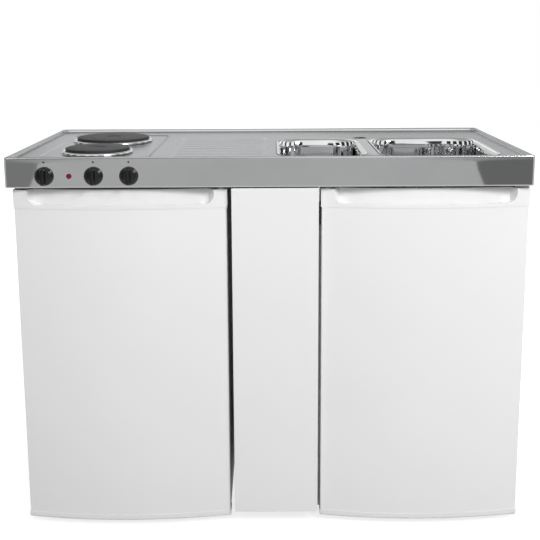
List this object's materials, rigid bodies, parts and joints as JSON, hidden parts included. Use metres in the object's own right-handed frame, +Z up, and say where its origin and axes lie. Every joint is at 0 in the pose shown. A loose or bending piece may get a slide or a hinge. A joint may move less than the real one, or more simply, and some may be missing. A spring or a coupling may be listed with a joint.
{
  "type": "kitchenette unit",
  "caption": "Free-standing kitchenette: a steel worktop with hotplates, drainer and sink bowls over a small refrigerator, a blind panel and a sink cabinet with bowed white doors.",
  "frame": {"origin": "on the floor, under the middle of the unit's overall width and depth", "axes": "+X to the right as seen from the front, the doors face -Y, +Z up"},
  "size_m": [1.2, 0.624, 0.906],
  "materials": {
    "brushed_sheet": "fine brushed stainless sheet",
    "polished_bowl": "mirror-polished stainless",
    "bright_ring": "bright stainless",
    "cast_plate": "dark sealed cast iron",
    "zinc_steel": "zinc-plated steel",
    "control_black": "black thermoset",
    "lamp_red": "dark red lens",
    "switch_cream": "moulded insulating body",
    "box_black": "black moulded plastic",
    "batten_wood": "planed softwood",
    "door_white": "white satin paint",
    "trim_white": "white moulded plastic",
    "body_white": "white painted steel",
    "board_white": "white faced board",
    "liner_white": "vacuum-formed liner",
    "foam_yellow": "rigid foam",
    "seal_grey": "soft magnetic seal",
    "clear_plastic": "clear moulded plastic and glass",
    "evaporator": "rolled aluminium",
    "lamp_glass": "small bulb",
    "black_enamel": "black stoved paint",
    "pipe_white": "white pipe"
  },
  "bodies": {
    "unit": {"worktop": "brushed_sheet", "worktop_frame": "batten_wood", "half_bowl": "polished_bowl", "main_bowl": "polished_bowl", "bowl_wastes": "bright_ring", "waste_pipe": "pipe_white", "bottle_trap": "pipe_white", "trap_cup": "pipe_white", "outlet_pipe": "pipe_white", "front_hotplate": "cast_plate", "rear_hotplate": "cast_plate", "spill_rings": "bright_ring", "hotplate_clamps": "zinc_steel", "hob_tray": "zinc_steel", "switch_bodies": "switch_cream", "pilot_lamp": "lamp_red", "index_dots": "control_black", "terminal_box": "box_black", "fridge_cabinet": "body_white", "fridge_insulation": "foam_yellow", "fridge_liner": "liner_white", "fridge_back_panel": "zinc_steel", "compressor": "black_enamel", "condenser": "black_enamel", "fridge_shelves": "clear_plastic", "ice_box": "evaporator", "thermostat_housing": "liner_white", "fridge_lamp": "lamp_glass", "door_hinges": "zinc_steel", "levelling_feet": "box_black", "cabinet_sides": "board_white", "cabinet_floor": "board_white", "cabinet_back": "board_white", "cabinet_front_frame": "board_white", "blind_panel": "door_white", "door_catch": "box_black"},
    "fridge_door": {"fridge_door_skin": "door_white", "fridge_door_top_trim": "trim_white", "fridge_door_bottom_trim": "trim_white", "fridge_door_foam": "foam_yellow", "fridge_door_liner": "liner_white", "fridge_door_bins": "clear_plastic", "fridge_door_gasket": "seal_grey"},
    "sink_door": {"sink_door_skin": "door_white", "sink_door_top_trim": "trim_white", "sink_door_bottom_trim": "trim_white", "sink_door_inner_panel": "door_white", "sink_door_bumpers": "seal_grey"},
    "timer_control": {"timer_knob": "control_black", "timer_shaft": "zinc_steel"},
    "front_plate_control": {"front_plate_knob": "control_black", "front_plate_shaft": "zinc_steel"},
    "rear_plate_control": {"rear_plate_knob": "control_black", "rear_plate_shaft": "zinc_steel"},
    "crisper": {"crisper_drawer": "clear_plastic"},
    "ice_flap": {"ice_box_flap": "liner_white"},
    "thermostat": {"thermostat_dial": "liner_white"},
    "half_strainer": {"half_bowl_strainer": "bright_ring"},
    "main_strainer": {"main_bowl_strainer": "bright_ring"}
  },
  "joints": [
    {"name": "fridge_door_swing", "type": "hinge", "parent": "unit", "child": "fridge_door", "pos_m": [-0.575, -0.253, 0.412], "axis": [0, 0, -1], "range_deg": [0, 110]},
    {"name": "cabinet_door_swing", "type": "hinge", "parent": "unit", "child": "sink_door", "pos_m": [0.584, -0.26, 0.412], "axis": [0, 0, 1], "range_deg": [0, 110]},
    {"name": "timer_turn", "type": "hinge", "parent": "unit", "child": "timer_control", "pos_m": [-0.5095, -0.288, 0.857], "axis": [0, 1, 0], "range_deg": [0, 330]},
    {"name": "front_plate_turn", "type": "hinge", "parent": "unit", "child": "front_plate_control", "pos_m": [-0.398, -0.288, 0.857], "axis": [0, 1, 0], "range_deg": [0, 300]},
    {"name": "rear_plate_turn", "type": "hinge", "parent": "unit", "child": "rear_plate_control", "pos_m": [-0.318, -0.288, 0.857], "axis": [0, 1, 0], "range_deg": [0, 300]},
    {"name": "crisper_slide", "type": "slide", "parent": "unit", "child": "crisper", "axis": [0, -1, 0], "range_m": [0, 0.06]},
    {"name": "ice_flap_swing", "type": "hinge", "parent": "unit", "child": "ice_flap", "pos_m": [-0.342, -0.078, 0.774], "axis": [-1, 0, 0], "range_deg": [0, 82]},
    {"name": "thermostat_turn", "type": "hinge", "parent": "unit", "child": "thermostat", "pos_m": [-0.1535, -0.132, 0.616], "axis": [0, 1, 0], "range_deg": [0, 270]},
    {"name": "strainer_half_lift", "type": "slide", "parent": "unit", "child": "half_strainer", "axis": [0, 0, 1], "range_m": [0, 0.06]},
    {"name": "strainer_main_lift", "type": "slide", "parent": "unit", "child": "main_strainer", "axis": [0, 0, 1], "range_m": [0, 0.06]}
  ]
}
